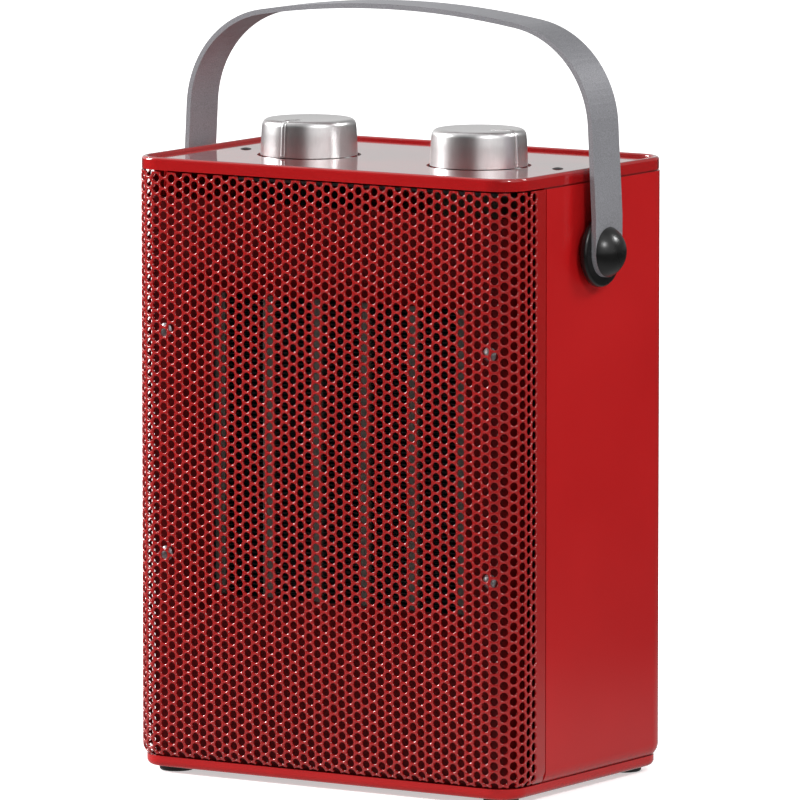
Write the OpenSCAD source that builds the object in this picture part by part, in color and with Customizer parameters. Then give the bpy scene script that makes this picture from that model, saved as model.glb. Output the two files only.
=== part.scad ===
// Compact ceramic fan heater in a sheet steel housing.
// A perforated front wraps round both front corners, two knobs stand in a tray-shaped top
// and a strap handle swings on two side pivots. The front faces -Y and the feet stand on Z = 0.

/* [Housing] */
// Width of the housing
body_w = 180; // [176:1:220]
// Depth of the housing
body_d = 120; // [114:1:150]
// Height from the underside of the base to the top of the rim
body_h = 245; // [238:1:290]
// Outside radius of the upright corners
corner_r = 13; // [10:0.5:16]
// Thickness of the steel sheet
sheet_t = 0.8; // [0.6:0.1:1]
// Open seam between neighbouring outer sheets
seam = 0.6; // [0.4:0.1:1]
// Radius of the rolled lower edge of the walls
roll_r = 6; // [5:0.5:8]
// Angle that the lower edge rolls through
roll_a = 45; // [35:1:50]
// Clearance between sheets that slide over each other
sheet_fit = 0.3; // [0.2:0.05:0.5]

/* [Front grille] */
// Diameter of the punched holes
hole_d = 3.4; // [2.8:0.1:3.6]
// Distance between neighbouring holes
hole_pitch = 4.25; // [4:0.05:6]
// Distance from the front plane to the seam on each side
wrap_d = 24.8; // [23:0.2:32]
// Plain edge beside that seam, up to the last column of hole centres
plain_edge = 6; // [5:0.5:8]
// Columns of holes round each corner, each on a narrow flat between two folds
bend_columns = 4; // [3:1:6]
// Bulge of the front sheet in its middle
front_bulge = 0.3; // [0.2:0.1:0.6]

/* [Base and feet] */
// Visible height of the base below the walls
base_band = 5; // [4:0.5:8]
// Radius of the lower edge of the base
base_edge_r = 2.5; // [1.5:0.5:3.5]
// Height of the base flange inside the side and rear walls
base_flange_h = 16; // [14:1:24]
// Height of a rubber foot
foot_h = 2.4; // [2:0.1:5]
// Diameter of a rubber foot
foot_d = 14; // [12:0.5:18]
// Distance from the housing sides to the middle of a foot
foot_inset = 13.5; // [12:0.5:20]

/* [Top cap] */
// Visible height of the cap above the walls
cap_band = 5; // [4.5:0.5:8]
// Height of the rim above the tray floor
rim_h = 1.4; // [1:0.1:2]
// Thickness of the half-round rim
rim_t = 2.4; // [2:0.1:3]
// Step of the cap inward from the walls
cap_inset = 0.3; // [0:0.1:0.5]
// Height of the cap skirt inside the side and rear walls
skirt_h = 9; // [8:0.5:14]
// Distance of the cap screws from the middle
cap_screw_x = 73.5; // [70:0.5:76]

/* [Knobs] */
// Distance between the two knob axes
knob_span = 80; // [74:1:82]
// Distance of the knob axes in front of the middle
knob_front = 5; // [2:0.5:8]
// Diameter of a knob at its foot
knob_d = 39; // [34:0.5:41]
// Height of a knob
knob_h = 14.5; // [13:0.5:18]
// Narrowing of a knob's radius from foot to shoulder
knob_taper = 0.7; // [0:0.1:1.2]
// Radius of the knob's shoulder
knob_edge_r = 2.6; // [1.5:0.1:3]
// Wall of a knob
knob_wall = 2; // [1.6:0.1:2.5]
// Width of the pointer rib
pointer_w = 1.8; // [1.4:0.1:2.4]
// Height of the pointer rib above the knob
pointer_h = 0.5; // [0.3:0.1:0.8]
// Depth of the round dish below a knob
dish_depth = 1.2; // [1:0.1:1.5]
// Gap between a knob and the wall of its dish
dish_gap = 1.3; // [1:0.1:2]
// Gap between a knob and the floor of its dish
knob_lift = 1.4; // [1.2:0.1:2]
// Diameter of the control shafts
shaft_d = 6; // [5:0.5:6.5]
// Radial clearance of a running shaft
run_fit = 0.05; // [0.02:0.01:0.09]

/* [Handle] */
// Width of the handle strap
strap_w = 20; // [16:0.5:22]
// Thickness of the handle strap
strap_t = 2; // [1.5:0.1:3]
// Clear gap between the housing side and the strap
strap_gap = 5.3; // [4:0.1:7]
// Depth of the pivots below the rim
pivot_drop = 33; // [31:0.5:40]
// Height of the arch above the pivots
arch_rise = 94; // [84:1:110]
// Outside radius of the arch corners
arch_corner_r = 42; // [32:1:46]
// Lean of the legs towards each other above the pivots
leg_lean = 3; // [1:0.5:5]
// Outside radius of the shallow crown of the arch
arch_crown_r = 380; // [250:10:600]
// Diameter of the pivot bolt
pivot_d = 6; // [5:0.5:6]
// Diameter of the flared spacer between housing and strap
spacer_d = 28; // [25:0.5:30]
// Diameter of the spacer where it meets the housing
spacer_foot_d = 21; // [18:0.5:24]
// Diameter of the domed pivot cap
pivot_cap_d = 19.8; // [17:0.2:20]
// Height of the domed pivot cap
pivot_cap_h = 6.2; // [4.6:0.1:8]

/* [Heater] */
// Distance from the front plane to the inner panel
panel_depth = 5.7; // [5:0.1:7]
// Distance from the front plane to the face of the heating element
heater_depth = 14; // [12:0.5:18]
// Distance from the housing sides to the heating element's opening
heater_margin = 31; // [30:0.5:40]
// Height of the heating element's opening
heater_h = 121; // [100:1:124]
// Depth of the heating element
heater_len = 16; // [14:1:20]
// Height of the heating element's middle above the base
heater_up = 130.7; // [126:0.1:140]
// Width of the sloping band round the opening of the inner panel
bevel_w = 9; // [5:0.5:10]
// Number of upright ceramic bars
bar_count = 6; // [4:1:7]
// Width of a ceramic bar
bar_w = 4.6; // [3:0.2:6]
// Distance between folds of the fins
fin_pitch = 2.1; // [1.8:0.1:4]
// Thickness of the fin strip
fin_t = 0.3; // [0.2:0.05:0.5]
// Rim width of the heating element's frame
heater_rim = 6; // [5:0.5:7]

/* [Fan] */
// Diameter of the fan over its blade tips
fan_d = 110; // [90:1:112]
// Number of blades
blade_count = 7; // [5:1:9]
// Gap between blade tips and the ring
tip_gap = 1.5; // [1:0.1:3]
// Width of a blade along its curve
blade_chord = 32; // [24:1:36]
// Pitch angle of the blades
blade_pitch = 33; // [25:1:36]
// Thickness of a blade
blade_t = 1.6; // [1.2:0.1:2.4]
// Diameter of the fan hub
hub_d = 34; // [28:1:40]
// Diameter of the motor
motor_d = 42; // [36:1:50]
// Length of the motor
motor_len = 29; // [24:1:34]
// Diameter of the motor shaft
motor_shaft_d = 4; // [3:0.5:5]

/* [Inside fittings] */
// Distance from the cap screws' bracket seat down to its deck
bracket_drop = 8; // [7:0.5:12]
// Thickness of brackets
bracket_t = 1.2; // [1:0.1:2]
// Distance of the tip-over switch from the middle
tip_x = 45; // [30:1:55]
// Travel of the tip-over plunger
tip_travel = 4.5; // [3:0.5:5]
// Distance from the right side of the housing to the cord inlet
inlet_inset = 32; // [28:1:50]
// Height of the cord inlet above the base
inlet_up = 30; // [28:1:40]
// Bore of the cord inlet
inlet_bore = 7.6; // [6:0.2:9]

/* [Hidden] */
$fn = 64;
// Overshoot of cutting tools
eps = 0.5;
hole_fn = 40;

// Levels
base_z = foot_h;
top_z = base_z + body_h;
wall_z0 = base_z + base_band;
wall_z1 = top_z - cap_band - seam;
floor_z = top_z - rim_h;
axis_z = base_z + heater_up;
pivot_z = top_z - pivot_drop;

// Rolled lower edge
roll_z = wall_z0 + roll_r*sin(roll_a);
roll_in = roll_r*(1 - cos(roll_a));
roll_tip = roll_r - (roll_r - sheet_t)*cos(roll_a);

// Base
base_in = round(20*roll_in)/20;
flange_in = ceil(20*(roll_tip + sheet_fit))/20;
pan_floor_z = base_z + sheet_t;
base_flange_z = base_z + base_flange_h;
band_top = wall_z0 - seam;

// Cap
cap_z0 = top_z - cap_band;
skirt_z = wall_z1 - skirt_h;

// Front sheet: the wide front flat, narrow flats round the corners and a flange along each side
front_y = -body_d/2;
rear_y = body_d/2;
seam_y = front_y + wrap_d;
flat_half = body_w/2 - corner_r;
bend_y = front_y + corner_r;
fold_a = 90/(bend_columns + 1);
fold_reach = corner_r*tan(fold_a/2);
front_half = flat_half + fold_reach;
half_columns = floor(front_half/(hole_pitch*sqrt(3)/2) - 0.5);
column_pitch = front_half/(half_columns + 0.5);
flange_columns = floor((wrap_d - corner_r + fold_reach - plain_edge)/column_pitch + 0.5);
last_column = half_columns + bend_columns + flange_columns;
lap_w = plain_edge - hole_d/2 - 0.5;
front_edge_y = seam_y - seam/2;
row_offset = 0.3;
roll_steps = 2;

// Knobs and controls
knob_r = knob_d/2;
shoulder_r = knob_r - knob_taper;
dish_r = knob_r + dish_gap;
dish_z = floor_z - dish_depth;
knob_z = dish_z + knob_lift;
shaft_r = shaft_d/2;
deck_z = floor_z - sheet_t - bracket_drop;
bushing_r = shaft_r + 2;
bushing_h = 5.4;
nut_h = 2.2;
control_h = 20;
mode_w = 28;
thermostat_w = 32;
thermostat_d = 22;
tab_pitch = 6;
knob_boss_r = shaft_r + 2.2;
socket_fit = 0.03;
knob_roof = 2.4;
shaft_top = knob_z + knob_h - knob_roof - 1;
mode_x = -knob_span/2;
thermostat_x = knob_span/2;
// Knob directions as photographed, turned from the front towards the right
mode_turn = 0;
thermostat_turn = 84;

// Handle
pivot_r = pivot_d/2;
strap_in = body_w/2 + strap_gap;
strap_out = strap_in + strap_t;
strap_play = 0.1;
spacer_len = strap_gap - strap_play;
arch_z = pivot_z + arch_rise;
crown_z = arch_z - arch_crown_r;
// Each corner arc touches its leaning leg and the crown
lean_z = pivot_z + spacer_d/2;
corner_reach = strap_out - arch_corner_r/cos(leg_lean);
crown_drop = crown_z - lean_z;
corner_turn = corner_reach*tan(leg_lean) + crown_drop;
corner_rest = pow(corner_reach, 2) + pow(crown_drop, 2) - pow(arch_crown_r - arch_corner_r, 2);
corner_up = pow(cos(leg_lean), 2)*(corner_turn + sqrt(pow(corner_turn, 2) - corner_rest/pow(cos(leg_lean), 2)));
arch_corner_x = corner_reach - corner_up*tan(leg_lean);
arch_corner_z = lean_z + corner_up;
corner_steps = 20;
crown_steps = 16;
bolt_head_r = pivot_r + 3;
bolt_head_h = 2;
pivot_nut_h = 5;

// Depths inside the housing
panel_y = front_y + panel_depth;
heater_y = front_y + heater_depth;
heater_back = heater_y + heater_len;
duct_len = 10;
shroud_t = 2;
shroud_y = heater_back + duct_len;
fan_r = fan_d/2;
ring_r = fan_r + tip_gap;
fan_y = shroud_y + shroud_t + 10;
ring_end = shroud_y + 24;
bracket_y = shroud_y + 29;
motor_y = bracket_y + bracket_t + 0.8;
heater_w = body_w - 2*heater_margin;
frame_w = heater_w + 2*heater_rim;
frame_h = heater_h + 2*heater_rim;
terminal_places = [-heater_w*0.36, -heater_w*0.12, heater_w*0.36];
bar_step = (heater_w - bar_w)/(bar_count - 1);
// The inner panel stands on the flat floor of the base, inside its rounded corners
floor_corner_r = corner_r - base_in - base_edge_r;
panel_corner = sqrt(pow(floor_corner_r, 2) - pow(corner_r - panel_depth, 2));
panel_half_w = floor(20*(flat_half + panel_corner))/20 - 0.2;
panel_boss_r = 4.5;
panel_screw_x = panel_half_w - sheet_t - sheet_fit - panel_boss_r;
panel_screw_z = heater_h*0.37;
panel_screw_len = 8.8;
panel_top = skirt_z - 1.5;
panel_return = 16;
bracket_post_x = ring_r + 7.5;
shaft_in_hub = 12;
motor_boss_r = 7;

// Cord inlet and small screws
inlet_x = body_w/2 - inlet_inset;
inlet_wall = 2;
screw_r = 1.5;
screw_head_r = 3;
screw_head_h = 1.8;
cap_head_r = 2.2;
cap_head_h = 0.6;
thread_fit = 0.05;
rear_screw_x = body_w/2 - 22;
rear_screw_low = base_flange_z - 4;
rear_screw_high = skirt_z + 4;

// Switch under the base
tip_y = 12;
tip_body = [22, 14, 20];
plunger_r = 2.5;
plunger_collar_r = 4;
tip_well_r = 4.6;
tip_clear = 0.2;
collar_h = 1.5;
tip_floor = 2;
tip_roof_z = pan_floor_z + tip_body[2];
collar_z = pan_floor_z + tip_floor + tip_travel;
spring_wire = 0.6;

steel_red = "firebrick";
steel_grey = "lightslategray";

// Flat shapes

module rounded_rect(w, d, r) {
  square([w - 2*r, d], center = true);
  square([w, d - 2*r], center = true);
  for (x = [-1, 1], y = [-1, 1])
    translate([x*(w/2 - r), y*(d/2 - r)])
      circle(r);
}

// Part of a ring between two angles less than a half turn apart
module ring_sector(outer, inner, a0, a1) {
  reach = 3*outer;
  mid = (a0 + a1)/2;
  intersection() {
    difference() {
      circle(outer);
      circle(inner);
    }
    polygon([
      [0, 0],
      reach*[cos(a0), sin(a0)],
      reach*[cos(mid), sin(mid)],
      reach*[cos(a1), sin(a1)]
    ]);
  }
}

// Section of the outer walls: X = 0 is the outer face and the lower edge rolls inward
module wall_section() {
  translate([-sheet_t, roll_z])
    square([sheet_t, wall_z1 - roll_z]);
  translate([-roll_r, roll_z])
    ring_sector(roll_r, roll_r - sheet_t, -roll_a, 0);
}

// Wall sections carried along the housing

module run(len) {
  rotate([90, 0, 0])
    linear_extrude(len, center = true)
      children();
}

module bend(r) {
  rotate_extrude(angle = 90)
    translate([r, 0])
      children();
}

// Section carried round a whole rounded rectangle
module loop(w, d, r) {
  for (half = [0, 180])
    rotate(half) {
      translate([w/2, 0, 0])
        run(d - 2*r) children();
      translate([w/2 - r, d/2 - r, 0])
        bend(r) children();
      rotate(90) {
        translate([d/2, 0, 0])
          run(w - 2*r) children();
        translate([d/2 - r, w/2 - r, 0])
          bend(r) children();
      }
    }
}

// Plan line of the front sheet from seam to seam, drawn in by an inset: one fold between columns
function bulge_at(x) = front_bulge*(1 - pow(x/front_half, 2));
function corner_fold(side, k, inset) =
  let (a = (k + 0.5)*fold_a, r = (corner_r - inset)/cos(fold_a/2))
    [side*(flat_half + r*sin(a)), bend_y - r*cos(a)];
function front_fold(i, inset) =
  let (x = (i + 0.5)*column_pitch)
    [x, front_y + inset - bulge_at(x)];
function front_line(inset) = concat(
  [[inset - body_w/2, front_edge_y]],
  [for (k = [bend_columns : -1 : 0]) corner_fold(-1, k, inset)],
  [for (i = [-half_columns : half_columns - 1]) front_fold(i, inset)],
  [for (k = [0 : bend_columns]) corner_fold(1, k, inset)],
  [[body_w/2 - inset, front_edge_y]]
);
function reversed(list) = [for (i = [len(list) - 1 : -1 : 0]) list[i]];

// Solid through a row of rings with equal numbers of points
module skinned(rings) {
  sides = len(rings[0]);
  last = (len(rings) - 1)*sides;
  walls = [for (i = [0 : len(rings) - 2], k = [0 : sides - 1])
    let (a = i*sides + k, b = i*sides + (k + 1) % sides)
      each [[a, b, a + sides], [b, b + sides, a + sides]]];
  start = [for (k = [sides - 1 : -1 : 0]) k];
  end = [for (k = [0 : sides - 1]) last + k];
  polyhedron([for (ring = rings, p = ring) p], concat(walls, [start, end]));
}

// Rolled lower edge of the front sheet
module front_roll() {
  angles = [for (j = [0 : roll_steps]) j*roll_a/roll_steps];
  function level(r, a) = [for (p = front_line(roll_r - r*cos(a))) [p[0], p[1], roll_z - r*sin(a)]];
  outside = [for (a = angles) level(roll_r, a)];
  inside = [for (a = reversed(angles)) level(roll_r - sheet_t, a)];
  lines = reversed(concat(outside, inside));
  skinned([for (i = [0 : len(lines[0]) - 1]) [for (line = lines) line[i]]]);
}

// Section carried along both sides and the back
module rear_wrap() {
  side_y0 = seam_y + seam/2;
  side_len = rear_y - corner_r - side_y0;
  rotate(90)
    translate([rear_y, 0, 0])
      run(2*flat_half) children();
  for (side = [0, 1])
    mirror([side, 0, 0]) {
      translate([flat_half, rear_y - corner_r, 0])
        bend(corner_r) children();
      translate([body_w/2, side_y0 + side_len/2, 0])
        run(side_len) children();
    }
}

// Places children on a column of the front sheet, counted from the middle, with -Y pointing outward
module on_column(i) {
  side = sign(i);
  past = abs(i) - half_columns;
  on_flange = past - bend_columns;
  if (past <= 0)
    translate([i*column_pitch, front_y, 0])
      children();
  else if (on_flange <= 0)
    translate([side*flat_half, bend_y, 0])
      rotate(side*past*fold_a)
        translate([0, -corner_r, 0])
          children();
  else
    translate([side*body_w/2, bend_y - fold_reach + (on_flange - 0.5)*column_pitch, 0])
      rotate(side*90)
        children();
}

// Screw with a domed head along -Z, its seat at the origin
module screw(len, head_r = screw_head_r, head_h = screw_head_h) {
  rise = 0.75*head_h;
  dome_r = (head_r*head_r + rise*rise)/(2*rise);
  rotate_extrude()
    union() {
      translate([0, -len])
        square([screw_r, len + head_h/2]);
      intersection() {
        translate([0, head_h - dome_r])
          circle(dome_r, $fn = 180);
        square([head_r, head_h]);
      }
    }
}

// Same screw along +Y, its head on the front side
module screw_from_front(len) {
  rotate([90, 0, 0])
    screw(len);
}

// Same screw along -Y, its head on the rear side
module screw_from_rear(len) {
  rotate([-90, 0, 0])
    screw(len);
}

module hex_nut(across, h, bore_r) {
  difference() {
    cylinder(r = across/sqrt(3), h = h, $fn = 6);
    translate([0, 0, -eps])
      cylinder(r = bore_r, h = h + 2*eps);
  }
}

module at_feet() {
  for (x = [-1, 1], y = [-1, 1])
    translate([x*(body_w/2 - foot_inset), y*(body_d/2 - foot_inset), 0])
      children();
}

module at_rear_screws() {
  for (x = [-1, 1], z = [rear_screw_low, rear_screw_high])
    translate([x*rear_screw_x, rear_y, z])
      children();
}

module at_panel_screws() {
  for (x = [-1, 1], z = [-1, 1])
    translate([x*panel_screw_x, panel_y, axis_z + z*panel_screw_z])
      children();
}

// Outer housing

module intake_holes() {
  intake_d = 5;
  intake_pitch = 7.2;
  row = intake_pitch*sqrt(3)/2;
  rows = floor(fan_r/row);
  for (j = [-rows : rows]) {
    shift = (j % 2 == 0) ? 0 : intake_pitch/2;
    half = floor((sqrt(fan_r*fan_r - pow(j*row, 2)) + shift)/intake_pitch);
    for (i = [-half : half])
      if (norm([i*intake_pitch + shift, j*row]) < fan_r)
        translate([i*intake_pitch + shift, rear_y, axis_z + j*row])
          rotate([90, 0, 0])
            cylinder(d = intake_d, h = 4*sheet_t, center = true, $fn = hole_fn);
  }
}

module body_shell() {
  lap_z0 = base_flange_z + 1;
  lap_z1 = skirt_z - 1;
  color(steel_red)
    difference() {
      union() {
        rear_wrap() wall_section();
        for (side = [0, 1])
          mirror([side, 0, 0])
            translate([body_w/2 - 2*sheet_t, seam_y - lap_w, lap_z0])
              cube([sheet_t, 2*lap_w, lap_z1 - lap_z0]);
      }
      intake_holes();
      for (x = [-1, 1])
        translate([x*body_w/2, 0, pivot_z])
          rotate([0, 90, 0])
            cylinder(r = pivot_r + run_fit, h = 4*sheet_t, center = true);
      at_rear_screws()
        rotate([90, 0, 0])
          cylinder(r = screw_r + thread_fit, h = 4*sheet_t, center = true);
      translate([inlet_x, rear_y, base_z + inlet_up])
        rotate([90, 0, 0])
          cylinder(r = inlet_bore/2 + inlet_wall + thread_fit, h = 4*sheet_t, center = true);
    }
}

// Perforated sheet: columns of holes run the full height and are cut through by both edges
module front_grille() {
  drill_in = roll_tip + eps;
  drill_out = front_bulge + eps;
  color(steel_red)
    difference() {
      union() {
        translate([0, 0, roll_z])
          linear_extrude(wall_z1 - roll_z)
            polygon(concat(front_line(0), reversed(front_line(sheet_t))));
        front_roll();
      }
      for (i = [-last_column : last_column]) {
        start = wall_z0 + row_offset + (abs(i) % 2)*hole_pitch/2;
        on_column(i)
          for (z = [start : hole_pitch : wall_z1])
            translate([0, drill_in, z])
              rotate([90, 0, 0])
                cylinder(d = hole_d, h = drill_in + drill_out, $fn = hole_fn);
      }
    }
}

module cap_section() {
  translate([-rim_t, cap_z0])
    square([rim_t, cap_band - rim_t/2]);
  translate([-rim_t/2, top_z - rim_t/2])
    circle(rim_t/2);
}

// Strip inside the walls, its outer face drawn in from theirs
module inside_strip(inset, z0, z1) {
  translate([-inset - sheet_t, z0])
    square([sheet_t, z1 - z0]);
}

module top_cap() {
  w = body_w - 2*cap_inset;
  d = body_d - 2*cap_inset;
  r = corner_r - cap_inset;
  color(steel_red)
    difference() {
      union() {
        loop(w, d, r) cap_section();
        rear_wrap() inside_strip(sheet_t + sheet_fit, skirt_z, floor_z);
        translate([0, 0, floor_z - sheet_t])
          linear_extrude(sheet_t)
            rounded_rect(w - rim_t, d - rim_t, r - rim_t/2);
        for (x = [mode_x, thermostat_x])
          translate([x, -knob_front, dish_z - sheet_t])
            cylinder(r = dish_r + sheet_t, h = dish_depth);
      }
      for (x = [mode_x, thermostat_x])
        translate([x, -knob_front, 0]) {
          translate([0, 0, dish_z])
            cylinder(r = dish_r, h = dish_depth + eps);
          translate([0, 0, dish_z - sheet_t - eps])
            cylinder(r = bushing_r + 1, h = sheet_t + 2*eps);
        }
      for (x = [-1, 1])
        translate([x*cap_screw_x, 0, floor_z - sheet_t - eps])
          cylinder(r = screw_r + thread_fit, h = sheet_t + 2*eps);
      for (x = [-1, 1])
        translate([x*rear_screw_x, rear_y, rear_screw_high])
          rotate([90, 0, 0])
            cylinder(r = screw_r + thread_fit, h = 6*sheet_t + 4, center = true);
    }
}

// Pressed base: a rounded lower edge, a band below the walls and a ledge under their rolled edge
module base_section() {
  translate([-sheet_t, base_z + base_edge_r])
    square([sheet_t, band_top - base_z - base_edge_r]);
  translate([-base_edge_r, base_z + base_edge_r])
    ring_sector(base_edge_r, base_edge_r - sheet_t, -90, 0);
  step = flange_in - base_in;
  translate([-step - sheet_t, band_top - sheet_t])
    square([step + sheet_t, sheet_t]);
}

module base_pan() {
  w = body_w - 2*base_in;
  d = body_d - 2*base_in;
  r = corner_r - base_in;
  color(steel_red)
    difference() {
      union() {
        loop(w, d, r) base_section();
        rear_wrap() inside_strip(flange_in, band_top - sheet_t, base_flange_z);
        translate([0, 0, base_z])
          linear_extrude(sheet_t)
            rounded_rect(w - 2*base_edge_r, d - 2*base_edge_r, r - base_edge_r);
      }
      at_feet()
        cylinder(r = screw_r + thread_fit, h = pan_floor_z + eps);
      translate([-tip_x, tip_y, 0])
        cylinder(r = plunger_r + tip_clear, h = pan_floor_z + eps);
      for (x = [-1, 1])
        translate([x*rear_screw_x, rear_y, rear_screw_low])
          rotate([90, 0, 0])
            cylinder(r = screw_r + thread_fit, h = 12, center = true);
    }
}

module foot() {
  edge = 1;
  color([0.06, 0.06, 0.06])
    difference() {
      rotate_extrude() {
        translate([0, edge])
          square([foot_d/2, foot_h - edge]);
        square([foot_d/2 - edge, edge]);
        translate([foot_d/2 - edge, edge])
          circle(edge);
      }
      translate([0, 0, -eps])
        cylinder(r = screw_head_r + 0.6, h = screw_head_h*0.5 + eps);
      cylinder(r = screw_r + thread_fit, h = foot_h + eps);
    }
}

module place_foot(x, y) {
  translate([x*(body_w/2 - foot_inset), y*(body_d/2 - foot_inset), 0])
    foot();
}

module front_left_foot() {
  place_foot(-1, -1);
}

module front_right_foot() {
  place_foot(1, -1);
}

module rear_left_foot() {
  place_foot(-1, 1);
}

module rear_right_foot() {
  place_foot(1, 1);
}

module foot_screws() {
  color("silver")
    at_feet()
      translate([0, 0, screw_head_h*0.5])
        difference() {
          mirror([0, 0, 1])
            screw(foot_h + 2*screw_r);
          translate([0, 0, -screw_head_h])
            cylinder(r = screw_head_r, h = screw_head_h*0.6);
        }
}

module cap_screws() {
  color([0.1, 0.1, 0.1])
    for (x = [-1, 1])
      translate([x*cap_screw_x, 0, floor_z])
        screw(sheet_t + bracket_t + 3, cap_head_r, cap_head_h);
}

module rear_screws() {
  color("silver")
    at_rear_screws()
      screw_from_rear(sheet_t + flange_in + 3);
}

// Open bush for a mains cord
module cord_inlet() {
  barrel_r = inlet_bore/2 + inlet_wall;
  color([0.08, 0.08, 0.08])
    translate([inlet_x, rear_y, base_z + inlet_up])
      rotate([-90, 0, 0])
        difference() {
          union() {
            translate([0, 0, -8])
              cylinder(r = barrel_r, h = 8);
            cylinder(r1 = barrel_r + 2.6, r2 = barrel_r + 1.6, h = 2.4);
            translate([0, 0, -sheet_t - 2])
              cylinder(r = barrel_r + 1.2, h = 2);
          }
          translate([0, 0, -8 - eps])
            cylinder(r = inlet_bore/2, h = 8 + 2.4 + 2*eps);
        }
}

// Heating element behind the grille

// Rectangular funnel from the panel opening down to the element, its outline grown all round
module funnel_block(grow, y0, y1) {
  slope = bevel_w/(heater_y - panel_y);
  function ring(y) =
    let (w = heater_w/2 + (heater_y - y)*slope + grow, h = heater_h/2 + (heater_y - y)*slope + grow)
      [for (c = [[-1, -1], [1, -1], [1, 1], [-1, 1]]) [c[0]*w, y, axis_z + c[1]*h]];
  skinned([ring(y0), ring(y1)]);
}

module inner_panel() {
  h = panel_top - pan_floor_z;
  color([0.45, 0.05, 0.06])
    difference() {
      union() {
        translate([-panel_half_w, panel_y, pan_floor_z])
          cube([2*panel_half_w, sheet_t, h]);
        for (side = [0, 1])
          mirror([side, 0, 0])
            translate([panel_half_w - sheet_t, panel_y, pan_floor_z])
              cube([sheet_t, panel_return, h]);
        funnel_block(sheet_t, panel_y, heater_y);
      }
      funnel_block(0, panel_y - eps, heater_y + eps);
      at_panel_screws()
        rotate([90, 0, 0])
          cylinder(r = screw_r + thread_fit, h = 4*sheet_t, center = true);
    }
}

module panel_screws() {
  color("silver")
    at_panel_screws()
      screw_from_front(panel_screw_len);
}

module heater_frame() {
  color([0.1, 0.1, 0.1])
    translate([0, heater_back, axis_z])
      rotate([90, 0, 0])
        difference() {
          linear_extrude(heater_len)
            difference() {
              rounded_rect(frame_w, frame_h, 3);
              square([heater_w, heater_h], center = true);
            }
          for (x = terminal_places)
            translate([x - 3.2, frame_h/2 - heater_rim + 1, heater_len/2 - 0.4])
              cube([6.4, heater_rim, 0.8]);
        }
}

module heater_terminals() {
  color("goldenrod")
    for (x = terminal_places)
      translate([x - 3.15, heater_back - heater_len/2 - 0.4, axis_z + frame_h/2 - heater_rim + 1])
        cube([6.3, 0.8, heater_rim + 9]);
}

module heater_bars() {
  inset = 1.5;
  color([0.42, 0.38, 0.36])
    for (i = [0 : bar_count - 1])
      translate([-heater_w/2 + i*bar_step, heater_y + inset, axis_z - heater_h/2])
        cube([bar_w, heater_len - 2*inset, heater_h]);
}

// Each fin is one strip folded to and fro between two bars
module fin_strip(w, h) {
  folds = 2*floor((h - fin_t)/fin_pitch/2);
  z0 = -folds*fin_pitch/2;
  notch = fin_t*w/(2*fin_pitch);
  function tip(k, side) = [for (up = [-1, 1]) [side*w/2, z0 + k*fin_pitch + up*fin_t/2]];
  function inner(k, side) = [[side*(w/2 - notch), z0 + k*fin_pitch]];
  function edge(side) = [for (k = [1 : folds - 1])
    each (k % 2 == 1) == (side > 0) ? tip(k, side) : inner(k, -side)];
  right = edge(1);
  left = edge(-1);
  count = len(left);
  polygon(concat(
    [[-w/2, z0 - fin_t/2]],
    right,
    [[-w/2, z0 + folds*fin_pitch + fin_t/2], [-w/2, z0 + folds*fin_pitch - fin_t/2]],
    [for (j = [count - 1 : -1 : 0]) left[j]],
    [[-w/2, z0 + fin_t/2]]
  ));
}

module heater_fins() {
  inset = 2.5;
  color([0.16, 0.16, 0.17])
    for (i = [0 : bar_count - 2])
      translate([-heater_w/2 + bar_w + i*bar_step + (bar_step - bar_w)/2, heater_back - inset, axis_z])
        rotate([90, 0, 0])
          linear_extrude(heater_len - 2*inset)
            fin_strip(bar_step - bar_w, heater_h - 2);
}

module thermal_cutout() {
  disc_r = heater_len/2 - 0.5;
  color([0.75, 0.72, 0.66])
    translate([0, heater_y + heater_len/2, axis_z + frame_h/2]) {
      cylinder(r = disc_r, h = 1.2);
      cylinder(r = disc_r - 1.2, h = 7);
      for (x = [-1, 1])
        translate([x*3.5 - 0.4, -2.4, 6.5])
          cube([0.8, 4.8, 8]);
    }
}

// Fan

module fan_shroud() {
  plate_w = 2*(panel_screw_x + panel_boss_r);
  plate_h = frame_h + 4;
  wall = 1.6;
  post_r = 4;
  color([0.13, 0.13, 0.14])
    difference() {
      union() {
        translate([0, shroud_y + shroud_t, axis_z])
          rotate([90, 0, 0])
            linear_extrude(shroud_t)
              rounded_rect(plate_w, plate_h, 5);
        translate([0, shroud_y, axis_z])
          rotate([90, 0, 0])
            linear_extrude(duct_len)
              difference() {
                rounded_rect(frame_w, frame_h, 3);
                square([heater_w + 2*(heater_rim - wall), heater_h + 2*(heater_rim - wall)], center = true);
              }
        translate([0, ring_end, axis_z])
          rotate([90, 0, 0])
            cylinder(r = ring_r + wall, h = ring_end - shroud_y - shroud_t/2);
        for (x = [-1, 1])
          translate([x*bracket_post_x, bracket_y, axis_z])
            rotate([90, 0, 0])
              cylinder(r = post_r, h = bracket_y - shroud_y - shroud_t/2);
        at_panel_screws()
          translate([0, sheet_t, 0])
            rotate([-90, 0, 0])
              cylinder(r = panel_boss_r, h = shroud_y - panel_y - sheet_t + shroud_t/2);
      }
      translate([0, shroud_y - eps, axis_z])
        rotate([-90, 0, 0])
          cylinder(r = ring_r, h = ring_end - shroud_y + 2*eps);
      for (x = [-1, 1])
        translate([x*bracket_post_x, bracket_y + eps, axis_z])
          rotate([90, 0, 0])
            cylinder(r = screw_r + thread_fit, h = 9 + eps);
      at_panel_screws()
        rotate([-90, 0, 0])
          cylinder(r = screw_r + thread_fit, h = panel_screw_len + panel_boss_r);
    }
}

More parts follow.
